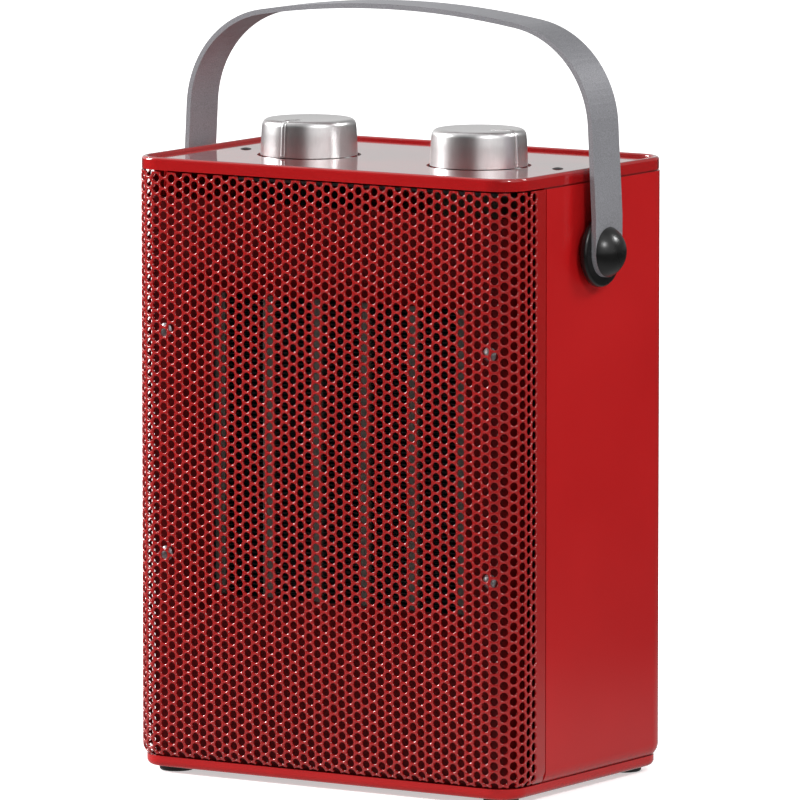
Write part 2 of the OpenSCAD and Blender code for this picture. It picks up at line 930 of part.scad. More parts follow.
module fan() {
  hub_r = hub_d/2;
  hub_h = 16;
  camber_r = 70;
  sweep = blade_chord/camber_r*180/PI;
  nose_r = 4;
  color([0.2, 0.2, 0.22])
    translate([0, fan_y, axis_z])
      rotate([90, 0, 0])
        difference() {
          union() {
            translate([0, 0, -hub_h/2])
              rotate_extrude() {
                square([hub_r, hub_h - nose_r]);
                square([hub_r - nose_r, hub_h]);
                translate([hub_r - nose_r, hub_h - nose_r])
                  circle(nose_r);
              }
            intersection() {
              for (k = [0 : blade_count - 1])
                rotate(k*360/blade_count)
                  rotate([blade_pitch, 0, 0])
                    translate([hub_r - 2, 0, -camber_r + blade_t/2])
                      rotate([90, 0, 90])
                        linear_extrude(fan_r)
                          ring_sector(camber_r, camber_r - blade_t, 90 - sweep/2, 90 + sweep/2);
              cylinder(r = fan_r, h = 3*blade_chord, center = true);
            }
          }
          translate([0, 0, -hub_h/2 - eps])
            cylinder(r = motor_shaft_d/2 + socket_fit, h = shaft_in_hub + eps);
          translate([0, 0, -hub_h/2 - eps])
            difference() {
              cylinder(r = hub_r - 2.5, h = hub_h*0.6 + eps);
              cylinder(r = motor_shaft_d/2 + 3, h = hub_h + 2*eps);
            }
        }
}

module motor() {
  motor_r = motor_d/2;
  edge = 2;
  color("silver")
    translate([0, motor_y, axis_z])
      rotate([-90, 0, 0])
        difference() {
          union() {
            rotate_extrude() {
              translate([0, edge])
                square([motor_r, motor_len - 2*edge]);
              square([motor_r - edge, motor_len]);
              for (z = [edge, motor_len - edge])
                translate([motor_r - edge, z])
                  circle(edge);
            }
            translate([0, 0, motor_len])
              cylinder(r = motor_boss_r, h = 2.5);
            translate([0, 0, bracket_y - motor_y - 1])
              cylinder(r = motor_boss_r - thread_fit, h = motor_y - bracket_y + 2);
            for (x = [-1, 1])
              translate([x*(motor_r - 6), 0, bracket_y + bracket_t - motor_y])
                cylinder(r = 3, h = motor_y - bracket_y - bracket_t + 1);
          }
          translate([0, 0, bracket_y - motor_y - 1 - eps])
            cylinder(r = motor_shaft_d/2 + run_fit, h = motor_len);
          for (k = [0 : 5])
            rotate(k*60 + 30)
              translate([motor_r - 8, 0, motor_len - 3])
                cylinder(r = 2, h = 3 + eps);
          for (x = [-1, 1])
            translate([x*(motor_r - 6), 0, -2])
              cylinder(r = screw_r + thread_fit, h = 7);
        }
}

module motor_shaft() {
  end_y = fan_y + 8 - shaft_in_hub + 0.2;
  color("gainsboro")
    translate([0, end_y, axis_z])
      rotate([-90, 0, 0])
        cylinder(d = motor_shaft_d, h = motor_y + motor_len - 8 - end_y);
}

module motor_bracket() {
  arm_w = 22;
  color("lightgray")
    translate([0, bracket_y + bracket_t, axis_z])
      rotate([90, 0, 0])
        linear_extrude(bracket_t)
          difference() {
            union() {
              square([2*bracket_post_x, arm_w], center = true);
              circle(motor_d/2 + 2);
              for (x = [-1, 1])
                translate([x*bracket_post_x, 0])
                  circle(arm_w/2);
            }
            circle(motor_boss_r);
            for (x = [-1, 1], at = [bracket_post_x, motor_d/2 - 6])
              translate([x*at, 0])
                circle(screw_r + thread_fit);
          }
}

module motor_screws() {
  color("silver") {
    for (x = [-1, 1])
      translate([x*bracket_post_x, bracket_y + bracket_t, axis_z])
        screw_from_rear(bracket_t + 7);
    for (x = [-1, 1])
      translate([x*(motor_d/2 - 6), bracket_y, axis_z])
        screw_from_front(bracket_t + 4);
  }
}

// Controls under the cap

// Strip with a deck for both controls and two raised ends that meet the underside of the cap
module control_bracket() {
  half_w = 17;
  seat_z = floor_z - sheet_t;
  foot_len = 9;
  end_x = cap_screw_x + foot_len - 2;
  step_x = cap_screw_x - foot_len;
  color("lightgray")
    difference() {
      translate([0, -knob_front + half_w, 0])
        rotate([90, 0, 0])
          linear_extrude(2*half_w)
            for (side = [0, 1])
              mirror([side, 0]) {
                translate([0, deck_z - bracket_t])
                  square([step_x, bracket_t]);
                translate([step_x - bracket_t, deck_z - bracket_t])
                  square([bracket_t, seat_z - deck_z + bracket_t]);
                translate([step_x - bracket_t, seat_z - bracket_t])
                  square([end_x - step_x + bracket_t, bracket_t]);
              }
      for (x = [mode_x, thermostat_x])
        translate([x, -knob_front, deck_z - bracket_t - eps])
          cylinder(r = bushing_r + thread_fit, h = bracket_t + 2*eps);
      for (x = [-1, 1])
        translate([x*cap_screw_x, 0, seat_z - bracket_t - eps])
          cylinder(r = screw_r + thread_fit, h = bracket_t + 2*eps);
    }
}

// Body of a rotary control with its bushing, hung below the bracket deck
module control_body(w, d, tabs) {
  body_top = deck_z - bracket_t;
  translate([0, -knob_front, 0])
    difference() {
      union() {
        translate([0, 0, body_top - control_h])
          linear_extrude(control_h)
            rounded_rect(w, d, 2);
        translate([0, 0, body_top - 1])
          cylinder(r = bushing_r, h = bushing_h + 1);
        for (x = tabs)
          translate([x - 0.4, -3.15, body_top - control_h - 7])
            cube([0.8, 6.3, 8]);
      }
      translate([0, 0, body_top - control_h/2])
        cylinder(r = shaft_r + run_fit, h = control_h + bushing_h);
    }
}

module control_shaft() {
  z0 = deck_z - bracket_t - control_h/2 + 0.1;
  flat_h = knob_h - knob_roof;
  translate([0, -knob_front, 0])
    difference() {
      translate([0, 0, z0])
        cylinder(r = shaft_r, h = shaft_top - z0);
      translate([-shaft_r, shaft_r*0.5, shaft_top - flat_h + 2])
        cube([2*shaft_r, shaft_r, flat_h]);
    }
}

module control_nut() {
  translate([0, -knob_front, deck_z])
    hex_nut(2*bushing_r + 4, nut_h, bushing_r + thread_fit);
}

// Outer half section of a knob, grown outward for the pointer rib
module knob_section(grow) {
  r0 = knob_r + grow;
  r1 = shoulder_r + grow;
  h = knob_h + grow;
  e = knob_edge_r;
  polygon([[0, 0], [r0, 0], [r1, h - e], [r1 - e, h - e], [r1 - e, h], [0, h]]);
  translate([r1 - e, h - e])
    circle(e);
}

// Turned knob with a shallow dished top; the pointer rib runs along -Y and down the side
module knob() {
  crown_depth = 0.5;
  crown_half = shoulder_r - knob_edge_r - 1.5;
  crown_r = (crown_half*crown_half + crown_depth*crown_depth)/(2*crown_depth);
  rib_start = crown_half*0.45;
  cavity_h = knob_h - knob_roof;
  translate([0, 0, knob_z])
    difference() {
      union() {
        difference() {
          rotate_extrude()
            intersection() {
              difference() {
                knob_section(0);
                translate([0, knob_h - crown_depth + crown_r])
                  circle(crown_r, $fn = 180);
              }
              translate([0, -eps])
                square([2*knob_r, 2*knob_h]);
            }
          translate([0, 0, -eps])
            cylinder(r = shoulder_r - knob_wall, h = cavity_h + eps);
        }
        translate([0, 0, 0.8])
          cylinder(r = knob_boss_r, h = knob_h - knob_roof);
        intersection() {
          difference() {
            rotate_extrude()
              intersection() {
                knob_section(pointer_h);
                square([2*knob_r, 2*knob_h]);
              }
            translate([0, 0, -eps])
              cylinder(r = shoulder_r - knob_wall/2, h = cavity_h + 1.5);
          }
          translate([-pointer_w/2, -2*knob_r, 0])
            cube([pointer_w, 2*knob_r - rib_start, 2*knob_h]);
        }
      }
      difference() {
        translate([0, 0, -eps])
          cylinder(r = shaft_r + socket_fit, h = shaft_top - knob_z + 0.1 + eps);
        translate([-knob_r, shaft_r*0.5 + socket_fit, shaft_top - knob_z - cavity_h + 2.2])
          cube([2*knob_r, knob_r, cavity_h]);
      }
    }
}

module mode_switch() {
  color([0.12, 0.12, 0.13])
    translate([mode_x, 0, 0])
      control_body(mode_w, mode_w, tab_pitch*[-1.5, -0.5, 0.5, 1.5]);
}

module mode_shaft() {
  color("gainsboro")
    translate([mode_x, 0, 0])
      turned(mode_turn) control_shaft();
}

module mode_nut() {
  color("silver")
    translate([mode_x, 0, 0])
      control_nut();
}

// Turns a knob or shaft about its own axis, from the front towards the right
module turned(a) {
  translate([0, -knob_front, 0])
    rotate(a)
      translate([0, knob_front, 0])
        children();
}

module mode_knob() {
  color("silver")
    translate([mode_x, -knob_front, 0])
      rotate(mode_turn)
        knob();
}

module thermostat() {
  color([0.55, 0.5, 0.42])
    translate([thermostat_x, 0, 0])
      control_body(thermostat_w, thermostat_d, thermostat_w/4*[-1, 1]);
}

module thermostat_shaft() {
  color("gainsboro")
    translate([thermostat_x, 0, 0])
      turned(thermostat_turn) control_shaft();
}

module thermostat_nut() {
  color("silver")
    translate([thermostat_x, 0, 0])
      control_nut();
}

module thermostat_knob() {
  color("silver")
    translate([thermostat_x, -knob_front, 0])
      rotate(thermostat_turn)
        knob();
}

// Handle

// Line of the strap from one lower end over the arch to the other, drawn in by an inset
function arc_points(centre, r, a0, a1, steps) =
  [for (j = [0 : steps]) let (a = a0 + (a1 - a0)*j/steps) centre + r*[sin(a), cos(a)]];
function arch_line(inset) =
  let (
    lean = atan2(arch_corner_x, arch_corner_z - crown_z),
    corner = arch_corner_r - inset,
    half = strap_out - inset,
    kink = lean_z - inset*tan(leg_lean/2),
    low = pivot_z - strap_w
  )
  concat(
    [[-half, low], [-half, kink]],
    arc_points([-arch_corner_x, arch_corner_z], corner, leg_lean - 90, -lean, corner_steps),
    arc_points([0, crown_z], arch_crown_r - inset, -lean, lean, crown_steps),
    arc_points([arch_corner_x, arch_corner_z], corner, lean, 90 - leg_lean, corner_steps),
    [[half, kink], [half, low]]
  );

// Flat strap bent into an arch, with round ends about the pivots
module handle() {
  end_r = strap_w/2;
  color(steel_grey)
    difference() {
      intersection() {
        rotate([90, 0, 0])
          linear_extrude(strap_w, center = true)
            polygon(concat(arch_line(0), reversed(arch_line(strap_t))));
        rotate([90, 0, 90])
          linear_extrude(3*strap_out, center = true) {
            translate([0, pivot_z])
              circle(end_r);
            translate([-end_r, pivot_z])
              square([strap_w, 2*arch_rise]);
          }
      }
      rotate([0, 90, 0])
        translate([-pivot_z, 0, 0])
          cylinder(r = pivot_r + run_fit, h = 3*strap_out, center = true);
    }
}

// Places a pivot piece on the right side, or on the left by mirroring; local +Z points outward
module at_pivot(side) {
  mirror([side < 0 ? 1 : 0, 0, 0])
    translate([body_w/2, 0, pivot_z])
      rotate([0, 90, 0])
        children();
}

module pivot_spacer(side) {
  rim = 1.2;
  color([0.05, 0.05, 0.05])
    at_pivot(side)
      difference() {
        rotate_extrude() {
          polygon([
            [0, 0], [spacer_foot_d/2, 0], [spacer_d/2, spacer_len - 2*rim], [spacer_d/2, spacer_len - rim],
            [spacer_d/2 - rim, spacer_len - rim], [spacer_d/2 - rim, spacer_len], [0, spacer_len]
          ]);
          translate([spacer_d/2 - rim, spacer_len - rim])
            circle(rim);
        }
        translate([0, 0, -eps])
          cylinder(r = pivot_r + run_fit, h = spacer_len + 2*eps);
      }
}

// Bolt through strap, spacer and housing wall, with a low head outside the strap
module pivot_bolt(side) {
  inside = sheet_t + pivot_nut_h + 1.5;
  head_z = strap_gap + strap_t + strap_play;
  color("silver")
    at_pivot(side) {
      translate([0, 0, -inside])
        cylinder(r = pivot_r, h = inside + head_z + 0.5);
      translate([0, 0, head_z])
        cylinder(r = bolt_head_r, h = bolt_head_h);
    }
}

module pivot_nut(side) {
  color("silver")
    at_pivot(side)
      translate([0, 0, -sheet_t - pivot_nut_h])
        hex_nut(2*pivot_r + 4, pivot_nut_h, pivot_r + thread_fit);
}

// Domed cap that snaps over the bolt head
module pivot_cap(side) {
  cap_r = pivot_cap_d/2;
  dome_r = (cap_r*cap_r + pivot_cap_h*pivot_cap_h)/(2*pivot_cap_h);
  seat = strap_gap + strap_t + strap_play;
  color([0.05, 0.05, 0.05])
    at_pivot(side)
      translate([0, 0, seat])
        difference() {
          rotate_extrude()
            intersection() {
              translate([0, pivot_cap_h - dome_r])
                circle(dome_r);
              square([cap_r, pivot_cap_h]);
            }
          translate([0, 0, -eps])
            cylinder(r = bolt_head_r + thread_fit, h = bolt_head_h + thread_fit + eps);
        }
}

module left_pivot_spacer() {
  pivot_spacer(-1);
}

module right_pivot_spacer() {
  pivot_spacer(1);
}

module left_pivot_bolt() {
  pivot_bolt(-1);
}

module right_pivot_bolt() {
  pivot_bolt(1);
}

module left_pivot_nut() {
  pivot_nut(-1);
}

module right_pivot_nut() {
  pivot_nut(1);
}

module left_pivot_cap() {
  pivot_cap(-1);
}

module right_pivot_cap() {
  pivot_cap(1);
}

// Tip-over switch: a sprung plunger that the floor holds up while the heater stands

module tip_switch() {
  well_top = tip_roof_z - 3;
  color([0.7, 0.7, 0.68])
    translate([-tip_x, tip_y, 0])
      difference() {
        translate([0, 0, pan_floor_z])
          linear_extrude(tip_body[2])
            rounded_rect(tip_body[0], tip_body[1], 1.5);
        translate([0, 0, pan_floor_z - eps])
          cylinder(r = plunger_r + run_fit, h = tip_floor + 2*eps);
        translate([0, 0, pan_floor_z + tip_floor])
          cylinder(r = tip_well_r, h = well_top - pan_floor_z - tip_floor);
      }
}

module tip_plunger() {
  color("white")
    translate([-tip_x, tip_y, 0]) {
      translate([0, 0, tip_clear])
        cylinder(r = plunger_r, h = collar_z - tip_clear + 1);
      translate([0, 0, collar_z])
        cylinder(r = plunger_collar_r, h = collar_h);
    }
}

// Coil from the collar up to the roof of the well
module tip_spring() {
  turns = 4;
  steps = 12;
  z0 = collar_z + collar_h + spring_wire/2;
  z1 = tip_roof_z - 3 - spring_wire/2;
  coil_r = plunger_collar_r - spring_wire;
  count = turns*steps;
  sides = 6;
  function centre(i) = [coil_r*cos(360*i/steps), coil_r*sin(360*i/steps), z0 + (z1 - z0)*i/count];
  function ring(i) = [for (k = [0 : sides - 1])
    let (a = 360*k/sides, out = [cos(360*i/steps), sin(360*i/steps), 0])
      centre(i) + spring_wire/2*(cos(a)*out + [0, 0, sin(a)])];
  color("silver")
    translate([-tip_x, tip_y, 0])
      skinned([for (i = [0 : count]) ring(i)]);
}

body_shell();
front_grille();
top_cap();
base_pan();
front_left_foot();
front_right_foot();
rear_left_foot();
rear_right_foot();
foot_screws();
cap_screws();
rear_screws();
cord_inlet();
inner_panel();
panel_screws();
heater_frame();
heater_bars();
heater_fins();
heater_terminals();
thermal_cutout();
fan_shroud();
fan();
motor();
motor_shaft();
motor_bracket();
motor_screws();
control_bracket();
mode_switch();
mode_shaft();
mode_nut();
mode_knob();
thermostat();
thermostat_shaft();
thermostat_nut();
thermostat_knob();
handle();
left_pivot_spacer();
right_pivot_spacer();
left_pivot_bolt();
right_pivot_bolt();
left_pivot_nut();
right_pivot_nut();
left_pivot_cap();
right_pivot_cap();
tip_switch();
tip_plunger();
tip_spring();
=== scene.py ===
# %% [markdown]
# # A compact fan heater in a red steel housing
#
# The heater is a folded steel box with a perforated front that wraps round both front corners, a
# tray-shaped top with two satin knobs and a grey strap handle. The solids come from the part's source.
# This script dresses them: it keeps every solid whose shape is right, gives each one a procedural
# material, and builds finer pieces where punched edges, close folds or even turning decide the look.
#
# All lengths in the helpers below are in millimetres, the way a sheet metal drawing gives them. They are
# turned into metres once, when a mesh is made.

# %% The fixed frame
import bpy
import bmesh
import math
from mathutils import Matrix, Vector


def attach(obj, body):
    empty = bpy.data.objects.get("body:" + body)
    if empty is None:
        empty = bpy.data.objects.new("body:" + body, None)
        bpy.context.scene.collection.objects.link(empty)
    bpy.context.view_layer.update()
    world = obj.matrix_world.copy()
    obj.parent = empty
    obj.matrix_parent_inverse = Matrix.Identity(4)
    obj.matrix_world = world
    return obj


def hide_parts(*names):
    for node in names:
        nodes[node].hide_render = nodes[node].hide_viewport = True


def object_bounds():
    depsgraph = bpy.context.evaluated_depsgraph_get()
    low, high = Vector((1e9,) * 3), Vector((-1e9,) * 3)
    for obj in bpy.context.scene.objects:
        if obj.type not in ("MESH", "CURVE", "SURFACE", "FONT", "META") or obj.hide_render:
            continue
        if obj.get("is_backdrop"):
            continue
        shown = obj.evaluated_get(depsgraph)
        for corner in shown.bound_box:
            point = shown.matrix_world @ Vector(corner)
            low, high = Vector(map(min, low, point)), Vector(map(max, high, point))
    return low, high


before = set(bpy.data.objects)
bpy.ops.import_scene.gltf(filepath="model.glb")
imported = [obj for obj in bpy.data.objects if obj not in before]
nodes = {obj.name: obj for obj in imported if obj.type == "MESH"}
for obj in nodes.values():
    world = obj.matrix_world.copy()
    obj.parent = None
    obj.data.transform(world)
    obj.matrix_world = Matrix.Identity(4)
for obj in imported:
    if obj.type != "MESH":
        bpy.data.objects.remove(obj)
cad_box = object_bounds()
MM = 0.001

# %% [markdown]
# ## Sizes
#
# The numbers repeat the named values of the part's source, so that each new piece lies where its solid lies.

# %% Sizes of the housing
BODY_W, BODY_D = 180.0, 120.0
CORNER_R, SHEET_T = 13.0, 0.8
FOOT_H = 2.4
WALL_Z0, WALL_Z1 = 7.4, 241.8
ROLL_R, ROLL_A = 6.0, math.radians(45)
ROLL_Z = WALL_Z0 + ROLL_R * math.sin(ROLL_A)
HOLE_D, HOLE_PITCH, ROW_OFFSET = 3.4, 4.25, 0.3
FLAT_HALF = BODY_W / 2 - CORNER_R
FRONT_Y = -BODY_D / 2
# How far the front reaches back along the sides, and the gap at that seam
WRAP_DEPTH, SEAM_GAP = 24.8, 0.3
EDGE_Y = FRONT_Y + WRAP_DEPTH - SEAM_GAP
print("walls from", round(ROLL_Z, 2), "to", WALL_Z1, "mm")


# %% Small makers
def mesh_piece(name, points, faces, body, material, smooth=40):
    """A mesh from points in millimetres, riding on a body, with one material."""
    mesh = bpy.data.meshes.new(name)
    mesh.from_pydata([Vector(p) * MM for p in points], [], faces)
    mesh.validate()
    mesh.shade_smooth()
    mesh.set_sharp_from_angle(angle=math.radians(smooth))
    obj = bpy.data.objects.new(name, mesh)
    bpy.context.scene.collection.objects.link(obj)
    obj.data.materials.append(material)
    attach(obj, body)
    return obj


def paint(material, *names):
    """Gives solids of the frame their finish."""
    for name in names:
        slots = nodes[name].data.materials
        slots.clear()
        slots.append(material)


# %% [markdown]
# ## Camera
#
# The picture is a long-lens product shot: the uprights hardly converge, and the camera stands a little
# above the rim, to the right of the front. The place and the focal length come from fitting the corners
# of the cap, the base and the handle.

# %% Camera
CAMERA_PLACE = (2.2133, -3.4798, 0.6617)
CAMERA_AIM = (-0.5326, 0.8373, -0.1233)
LENS, SENSOR = 468.7, 36


def make_camera():
    forward = Vector(CAMERA_AIM).normalized()
    right = forward.cross(Vector((0, 0, 1))).normalized()
    up = right.cross(forward)
    turn = Matrix((right, up, -forward)).transposed().to_4x4()
    data = bpy.data.cameras.new("camera")
    data.sensor_width = SENSOR
    data.lens = LENS
    data.clip_end = 100
    cam = bpy.data.objects.new("camera", data)
    cam.matrix_world = Matrix.Translation(CAMERA_PLACE) @ turn
    bpy.context.scene.collection.objects.link(cam)
    bpy.context.scene.camera = cam
    return cam


camera = make_camera()
print("camera", [round(v, 3) for v in camera.location], "lens", camera.data.lens)

# %% [markdown]
# ## Studio
#
# A plain pale floor and soft light. The camera sees white all round. Glossy faces see a photographer's
# studio: bright sheets to the left and to the right front, a softer one overhead, a dark gap straight in
# front and a dim stretch behind on the right. The gaps give the knobs their bands, and the dark one keeps
# the red of the front deep. Three lamps add a key light from the left and two smaller ones on the right.


# %% Node helpers of the studio
def ramp(tree, stops):
    node = tree.nodes.new("ShaderNodeValToRGB")
    node.color_ramp.interpolation = "EASE"
    points = node.color_ramp.elements
    points[0].position, points[1].position = stops[0][0], stops[-1][0]
    for place, level in stops[1:-1]:
        points.new(place).color = (level, level, level, 1)
    for point, (place, level) in zip((points[0], points[-1]), (stops[0], stops[-1])):
        point.color = (level, level, level, 1)
    return node


def looking_rays(tree, *kinds):
    """1 for rays of the named kinds."""
    path = tree.nodes.new("ShaderNodeLightPath")
    value = path.outputs[kinds[0]]
    for kind in kinds[1:]:
        either = tree.nodes.new("ShaderNodeMath")
        either.operation = "MAXIMUM"
        tree.links.new(value, either.inputs[0])
        tree.links.new(path.outputs[kind], either.inputs[1])
        value = either.outputs[0]
    return value


def mixed(tree, factor, a, b):
    node = tree.nodes.new("ShaderNodeMixShader")
    tree.links.new(factor, node.inputs[0])
    tree.links.new(a, node.inputs[1])
    tree.links.new(b, node.inputs[2])
    return node.outputs[0]


def background(tree, level):
    node = tree.nodes.new("ShaderNodeBackground")
    node.inputs["Color"].default_value = (1, 1, 1, 1)
    node.inputs["Strength"].default_value = level
    return node


# %% Walls and ceiling
# Brightness of the studio's walls by compass direction in degrees, counted from +X towards +Y, and of its
# ceiling by height
WALLS = [
    (-180, 0.9), (-165, 1.0), (-150, 1.0), (-140, 0.1), (-72, 0.08), (-50, 0.9),
    (2, 0.9), (24, 0.25), (96, 0.25), (116, 0.62), (180, 0.9),
]
CEILING = [(0.0, 0.0), (0.45, 0.0), (0.75, 0.4), (1.0, 0.4)]


def make_world(strength):
    world = bpy.data.worlds.new("studio")
    world.use_nodes = True
    tree = world.node_tree
    tree.nodes.clear()
    out = tree.nodes.new("ShaderNodeOutputWorld")
    place = tree.nodes.new("ShaderNodeTexCoord")
    compass = tree.nodes.new("ShaderNodeTexGradient")
    compass.gradient_type = "RADIAL"
    tree.links.new(place.outputs["Generated"], compass.inputs["Vector"])
    walls = ramp(tree, [((a + 180) / 360, level) for a, level in WALLS])
    tree.links.new(compass.outputs["Fac"], walls.inputs["Fac"])
    parts = tree.nodes.new("ShaderNodeSeparateXYZ")
    tree.links.new(place.outputs["Generated"], parts.inputs[0])
    ceiling = ramp(tree, CEILING)
    tree.links.new(parts.outputs["Z"], ceiling.inputs["Fac"])
    brighter = tree.nodes.new("ShaderNodeMix")
    brighter.data_type = "RGBA"
    brighter.blend_type = "LIGHTEN"
    brighter.inputs["Factor"].default_value = 1
    # A Mix node has its colours on inputs 6 and 7 and on output 2
    tree.links.new(walls.outputs["Color"], brighter.inputs[6])
    tree.links.new(ceiling.outputs["Color"], brighter.inputs[7])
    studio = background(tree, 1)
    tree.links.new(brighter.outputs[2], studio.inputs["Color"])
    even = background(tree, strength).outputs[0]
    light = mixed(tree, looking_rays(tree, "Is Glossy Ray"), even, studio.outputs[0])
    seen = looking_rays(tree, "Is Camera Ray", "Is Transmission Ray")
    tree.links.new(mixed(tree, seen, light, background(tree, 1).outputs[0]), out.inputs["Surface"])
    bpy.context.scene.world = world


make_world(strength=0.34)
print("studio:", len(WALLS), "stops round the walls,", len(CEILING), "up to the ceiling")


# %% Floor
def make_floor():
    """Pale paper: white to the camera apart from the object's shadow, fading away in glossy faces."""
    reach = 6.0
    mesh = bpy.data.meshes.new("floor")
    corners = [(x * reach, y * reach, 0) for x, y in ((-1, -1), (1, -1), (1, 1), (-1, 1))]
    mesh.from_pydata(corners, [], [(0, 1, 2, 3)])
    floor = bpy.data.objects.new("floor", mesh)
    bpy.context.scene.collection.objects.link(floor)
    mat = bpy.data.materials.new("floor")
    mat.use_nodes = True
    tree = mat.node_tree
    tree.nodes.clear()
    out = tree.nodes.new("ShaderNodeOutputMaterial")
    paper = tree.nodes.new("ShaderNodeBsdfDiffuse")
    paper.inputs["Color"].default_value = (0.82, 0.82, 0.82, 1)
    glow = tree.nodes.new("ShaderNodeEmission")
    lifted = tree.nodes.new("ShaderNodeAddShader")
    tree.links.new(paper.outputs[0], lifted.inputs[0])
    tree.links.new(glow.outputs[0], lifted.inputs[1])
    place = tree.nodes.new("ShaderNodeTexCoord")
    far = tree.nodes.new("ShaderNodeVectorMath")
    far.operation = "LENGTH"
    tree.links.new(place.outputs["Object"], far.inputs[0])
    fade = ramp(tree, [(0.0, 0.6), (0.12, 0.5), (0.5, 0.12), (1.0, 0.05)])
    tree.links.new(far.outputs["Value"], fade.inputs["Fac"])
    rise = ramp(tree, [(0.0, 0.5), (0.15, 0.55), (0.4, 1.0), (1.0, 1.0)])
    tree.links.new(far.outputs["Value"], rise.inputs["Fac"])
    tree.links.new(rise.outputs["Color"], glow.inputs["Color"])
    mirrored = tree.nodes.new("ShaderNodeEmission")
    tree.links.new(fade.outputs["Color"], mirrored.inputs["Color"])
    direct = looking_rays(tree, "Is Camera Ray", "Is Transmission Ray")
    seen = mixed(tree, direct, paper.outputs[0], lifted.outputs[0])
    both = mixed(tree, looking_rays(tree, "Is Glossy Ray"), seen, mirrored.outputs[0])
    tree.links.new(both, out.inputs["Surface"])
    mesh.materials.append(mat)
    floor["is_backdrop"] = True


make_floor()
print("floor at height 0")


# %% Lamps
def lamp(name, place, aim, size, power):
    data = bpy.data.lights.new(name, "AREA")
    data.shape = "RECTANGLE"
    data.size, data.size_y = size
    data.energy = power
    obj = bpy.data.objects.new(name, data)
    obj.location = place
    obj.rotation_mode = "QUATERNION"
    obj.rotation_quaternion = (Vector(aim) - Vector(place)).to_track_quat("-Z", "Y")
    bpy.context.scene.collection.objects.link(obj)


bpy.context.scene.view_settings.view_transform = "Standard"
middle = (0, 0, 0.13)
lamp("key", (-2.3, -0.75, 1.2), middle, (0.8, 0.8), 105)
lamp("fill", (2.0, -1.2, 1.7), middle, (0.4, 0.4), 25)
lamp("back", (1.4, 1.2, 1.5), middle, (0.4, 0.4), 19)
print("lamps: key, fill and back, aimed at", middle)

# %% [markdown]
# ## Finishes
#
# Each finish is a node group that turns the place on the object into a colour, a roughness and a height.
# The shader itself, with constants such as its metal and its coat, stays in the material.


# %% Node helpers
class Look:
    """A shader node group with three outputs, filled node by node."""

    def __init__(self, name):
        self.tree = bpy.data.node_groups.new(name, "ShaderNodeTree")
        face = self.tree.interface
        face.new_socket("Tint", in_out="INPUT", socket_type="NodeSocketColor")
        face.new_socket("Gloss", in_out="INPUT", socket_type="NodeSocketFloat")
        face.new_socket("Colour", in_out="OUTPUT", socket_type="NodeSocketColor")
        face.new_socket("Roughness", in_out="OUTPUT", socket_type="NodeSocketFloat")
        face.new_socket("Height", in_out="OUTPUT", socket_type="NodeSocketFloat")
        self.given = self.tree.nodes.new("NodeGroupInput")
        self.out = self.tree.nodes.new("NodeGroupOutput")
        self.place = self.tree.nodes.new("ShaderNodeTexCoord").outputs["Object"]

    def link(self, a, b):
        self.tree.links.new(a, b)

    def noise(self, scale, detail=3.0, rough=0.5, stretch=None):
        node = self.tree.nodes.new("ShaderNodeTexNoise")
        node.inputs["Scale"].default_value = scale
        node.inputs["Detail"].default_value = detail
        node.inputs["Roughness"].default_value = rough
        where = self.place
        if stretch:
            scaled = self.tree.nodes.new("ShaderNodeVectorMath")
            scaled.operation = "MULTIPLY"
            scaled.inputs[1].default_value = stretch
            self.link(where, scaled.inputs[0])
            where = scaled.outputs[0]
        self.link(where, node.inputs["Vector"])
        return node.outputs["Fac"]

    def span(self, value, low, high, start=0.3, end=0.7):
        node = self.tree.nodes.new("ShaderNodeMapRange")
        for key, number in (("From Min", start), ("From Max", end), ("To Min", low), ("To Max", high)):
            node.inputs[key].default_value = number
        self.link(value, node.inputs["Value"])
        return node.outputs["Result"]

    def math(self, kind, a, b):
        node = self.tree.nodes.new("ShaderNodeMath")
        node.operation = kind
        for socket, value in zip(node.inputs, (a, b)):
            if isinstance(value, (int, float)):
                socket.default_value = value
            else:
                self.link(value, socket)
        return node.outputs[0]

    def shade(self, colour, factor):
        node = self.tree.nodes.new("ShaderNodeVectorMath")
        node.operation = "SCALE"
        self.link(colour, node.inputs[0])
        self.link(factor, node.inputs["Scale"])
        return node.outputs[0]

    def finish(self, colour, roughness, height):
        for name, value in (("Colour", colour), ("Roughness", roughness), ("Height", height)):
            self.link(value, self.out.inputs[name])
        return self.tree


def finish(name, look, tint, gloss, bump=0.1, distance=0.0002, **constants):
    """A material: one look on a principled shader with its own constants."""
    mat = bpy.data.materials.new(name)
    mat.use_nodes = True
    tree = mat.node_tree
    bsdf = tree.nodes["Principled BSDF"]
    group = tree.nodes.new("ShaderNodeGroup")
    group.node_tree = look
    group.inputs["Tint"].default_value = (*tint, 1)
    group.inputs["Gloss"].default_value = gloss
    tree.links.new(group.outputs["Colour"], bsdf.inputs["Base Color"])
    tree.links.new(group.outputs["Roughness"], bsdf.inputs["Roughness"])
    relief = tree.nodes.new("ShaderNodeBump")
    relief.inputs["Strength"].default_value = bump
    relief.inputs["Distance"].default_value = distance
    tree.links.new(group.outputs["Height"], relief.inputs["Height"])
    tree.links.new(relief.outputs["Normal"], bsdf.inputs["Normal"])
    for key, value in constants.items():
        bsdf.inputs[key.replace("_", " ")].default_value = value
    return mat


# %% [markdown]
# ### Enamel
#
# Stoved enamel on sheet steel: an even red with a faint orange-peel relief. The relief is about a
# millimetre and a half across and a few micrometres high, so it only shows in reflections. The front, the
# tray and the inner panel take darker copies of this red, which are painted shade.


# %% Enamel
def enamel_look():
    look = Look("enamel_look")
    cloud = look.noise(14.0, 2.0)
    peel = look.noise(620.0, 1.5, 0.4)
    colour = look.shade(look.given.outputs["Tint"], look.span(cloud, 0.95, 1.05))
    rough = look.math("ADD", look.given.outputs["Gloss"], look.span(cloud, -0.015, 0.03))
    return look.finish(colour, rough, peel)


